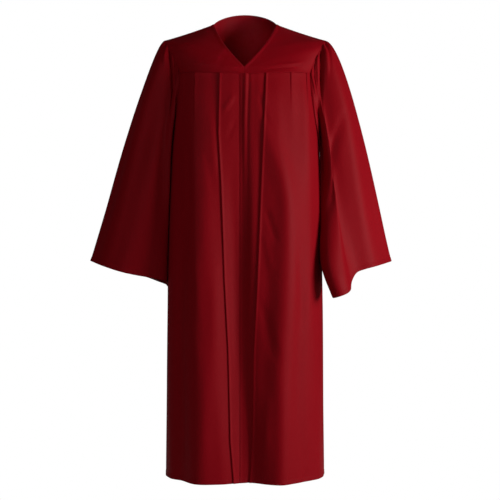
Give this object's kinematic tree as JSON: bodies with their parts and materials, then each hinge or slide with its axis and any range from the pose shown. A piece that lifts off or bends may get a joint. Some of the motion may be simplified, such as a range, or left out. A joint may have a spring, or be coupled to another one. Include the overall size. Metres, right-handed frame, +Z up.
{
  "type": "graduation gown",
  "caption": "Long maroon graduation gown with a V neck, a chest yoke, knife pleated lapped fronts, a fluted back and wide bell sleeves, filled out as worn.",
  "frame": {"origin": "middle of the neck opening, level with the inner ends of the shoulder seams, where the wearer's neck passes through", "axes": "+Z up along the wearer's body, -Y the way the front faces, +X to the right as seen from the front"},
  "size_m": [0.8003, 0.3422, 1.2172],
  "materials": {
    "gown_cloth": "plain woven polyester with a low satin sheen"
  },
  "bodies": {
    "root": {"front_yoke_left": "gown_cloth", "front_yoke_right": "gown_cloth", "back_yoke": "gown_cloth", "front_panel_left": "gown_cloth", "front_panel_right": "gown_cloth", "back_panel": "gown_cloth", "sleeve_left": "gown_cloth", "sleeve_right": "gown_cloth"}
  },
  "joints": []
}
